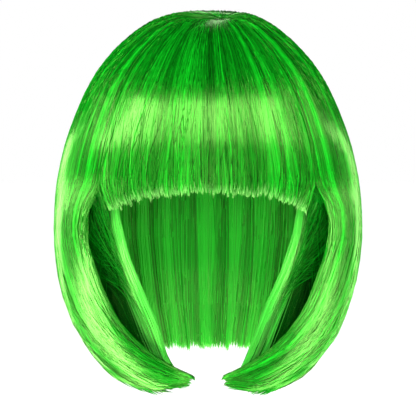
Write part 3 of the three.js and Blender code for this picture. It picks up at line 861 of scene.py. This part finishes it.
def softbox(name, azimuth, elevation, size, power):
    """A rectangular area light that faces the studio's middle. Its azimuth runs from the front to the
    wearer's left, and its elevation up from the level."""
    lamp = bpy.data.lights.new(name, "AREA")
    lamp.shape, lamp.size, lamp.size_y, lamp.energy = "RECTANGLE", *size, power
    made = bpy.data.objects.new(name, lamp)
    bpy.context.scene.collection.objects.link(made)
    turn, up = math.radians(azimuth), math.radians(elevation)
    away = Vector((math.cos(up) * math.sin(turn), -math.cos(up) * math.cos(turn), math.sin(up)))
    made.location = Vector(STUDIO_MIDDLE) + SOFTBOX_DISTANCE * away
    made.rotation_mode = "QUATERNION"
    made.rotation_quaternion = (-away).to_track_quat("-Z", "Y")
    return made


# Each softbox: its azimuth and elevation, its width and height, and its share of the light's power. The
# high ones draw the halo round the crown, the low ones the bright crescents of the curtains, those below
# the floor the curtains' points, and those at the sides the bright outline.
SOFTBOXES = (
    ("key_softbox", 0, 27, (1.0, 0.7), 0.22),
    ("left_key_softbox", 50, 26, (1.0, 0.6), 0.16),
    ("right_key_softbox", -60, 27, (1.0, 0.6), 0.27),
    ("front_softbox", 0, 4, (0.4, 0.3), 0.02),
    ("front_low_softbox", -15, -23, (0.9, 0.5), 0.18),
    ("left_low_softbox", 70, -17, (0.6, 0.8), 0.21),
    ("right_low_softbox", -70, -17, (0.6, 0.8), 0.38),
    ("bottom_softbox", 0, -42, (1.6, 0.5), 0.08),
    ("floor_softbox", 0, -68, (1.6, 0.8), 0.6),
    ("left_side_softbox", 101, -4, (0.3, 1.7), 0.21),
    ("right_side_softbox", -100, -6, (0.3, 1.7), 0.35),
    ("back_softbox", 180, 38, (1.4, 0.4), 0.1),
)


class WIG_OT_stage(bpy.types.Operator):
    """Makes the floor, the white surround, the softboxes and the camera"""

    bl_idname = "wig.stage"
    bl_label = "Studio"

    def execute(self, context):
        stage = context.scene.wig_stage
        corners = FLOOR_HALF * np.array([[-1, -1], [1, -1], [1, 1], [-1, 1]])
        points = np.column_stack([corners, np.full(4, -stage.floor_drop)])
        floor = new_object("floor", points, np.array([[0, 1, 2, 3]]))
        material, tree, output = new_material("matt_white_paint")
        paint = add_node(
            tree, "ShaderNodeBsdfPrincipled", {"Base Color": linear("f7f7f7"), "Roughness": 0.9},
        )
        tree.links.new(paint.outputs["BSDF"], output.inputs["Surface"])
        floor.data.materials.append(material)
        # It shows, but neither colours the hair nor stands in the way of the low softboxes.
        floor.visible_diffuse = floor.visible_glossy = floor.visible_shadow = False

        # The surround is white to look at, dimmer as a light, and left out of the gloss.
        world = bpy.data.worlds.new("white_surround")
        context.scene.world = world
        world.use_nodes = True
        tree = world.node_tree
        tree.nodes.clear()
        ray = add_node(tree, "ShaderNodeLightPath")
        seen = add_node(tree, "ShaderNodeBackground", {"Color": linear("ffffff"), "Strength": 1.0})
        light = add_node(tree, "ShaderNodeBackground", {"Color": linear("ffffff"), "Strength": 0.3})
        mixed = add_node(tree, "ShaderNodeMixShader", links={"Fac": ray.outputs["Is Camera Ray"]})
        tree.links.new(light.outputs["Background"], mixed.inputs[1])
        tree.links.new(seen.outputs["Background"], mixed.inputs[2])
        world.cycles_visibility.glossy = False
        output = add_node(tree, "ShaderNodeOutputWorld")
        tree.links.new(mixed.outputs["Shader"], output.inputs["Surface"])

        for name, azimuth, elevation, size, share in SOFTBOXES:
            softbox(name, azimuth, elevation, size, share * stage.light_power)
        # A fill for the inside of the hair, without a highlight of its own, and the floor's own sun.
        fill = softbox("fill_softbox", 0, 6, (1.0, 0.5), 0.5 * stage.light_power)
        fill.visible_glossy = False
        floor_light = bpy.data.lights.new("floor_light", "SUN")
        floor_light.energy, floor_light.angle = 2.7, 0.5
        sun = bpy.data.objects.new("floor_light", floor_light)
        context.scene.collection.objects.link(sun)
        only_floor = bpy.data.collections.new("floor_only")
        only_floor.objects.link(floor)
        sun.light_linking.receiver_collection = only_floor

        camera_data = bpy.data.cameras.new("camera")
        camera = bpy.data.objects.new("camera", camera_data)
        context.scene.collection.objects.link(camera)
        camera_data.sensor_width = SENSOR
        camera_data.lens = SENSOR * FOCAL_PIXELS / FRAME_PIXELS * stage.distance / CAMERA_DISTANCE
        back = Vector((0, -math.cos(stage.elevation), math.sin(stage.elevation)))
        camera.location = Vector(LOOKED_AT) + back * stage.distance
        camera.rotation_mode = "QUATERNION"
        camera.rotation_quaternion = (-back).to_track_quat("-Z", "Y")
        camera_data.clip_start, camera_data.clip_end = 0.1, 100
        context.scene.camera = camera
        context.scene.view_settings.view_transform = "Standard"
        return {"FINISHED"}


class WIG_PT_parts(bpy.types.Panel):
    """The wig's parts in the sidebar"""

    bl_idname = "WIG_PT_parts"
    bl_label = "Bob wig"
    bl_space_type = "VIEW_3D"
    bl_region_type = "UI"
    bl_category = "Wig"

    def draw(self, context):
        for group in ("wig_fibre", "wig_colours", "wig_stage"):
            settings = getattr(context.scene, group)
            for key in settings.__annotations__:
                self.layout.prop(settings, key)
        for operator in OPERATORS:
            self.layout.operator(operator.bl_idname)


GROUPS = {"wig_fibre": WigFibre, "wig_colours": WigColours, "wig_stage": WigStage}
OPERATORS = (
    WIG_OT_stage, WIG_OT_cap, WIG_OT_fringe, WIG_OT_side_hair, WIG_OT_back_hair, WIG_OT_temple_locks,
    WIG_OT_nape_hair,
)
CLASSES = (*GROUPS.values(), *OPERATORS, WIG_PT_parts)


def register():
    """Registers the classes and hangs the settings on the scene."""
    for made in CLASSES:
        bpy.utils.register_class(made)
    for key, group in GROUPS.items():
        setattr(bpy.types.Scene, key, bpy.props.PointerProperty(type=group))


def unregister():
    """Takes the settings and the classes away again."""
    for key in GROUPS:
        delattr(bpy.types.Scene, key)
    for made in reversed(CLASSES):
        bpy.utils.unregister_class(made)


def main():
    """Builds the studio and the wig."""
    register()
    bpy.ops.wig.stage()
    bpy.ops.wig.cap()
    bpy.ops.wig.fringe()
    bpy.ops.wig.side_hair()
    bpy.ops.wig.back_hair()
    bpy.ops.wig.temple_locks()
    bpy.ops.wig.nape_hair()


if __name__ == "__main__":
    main()
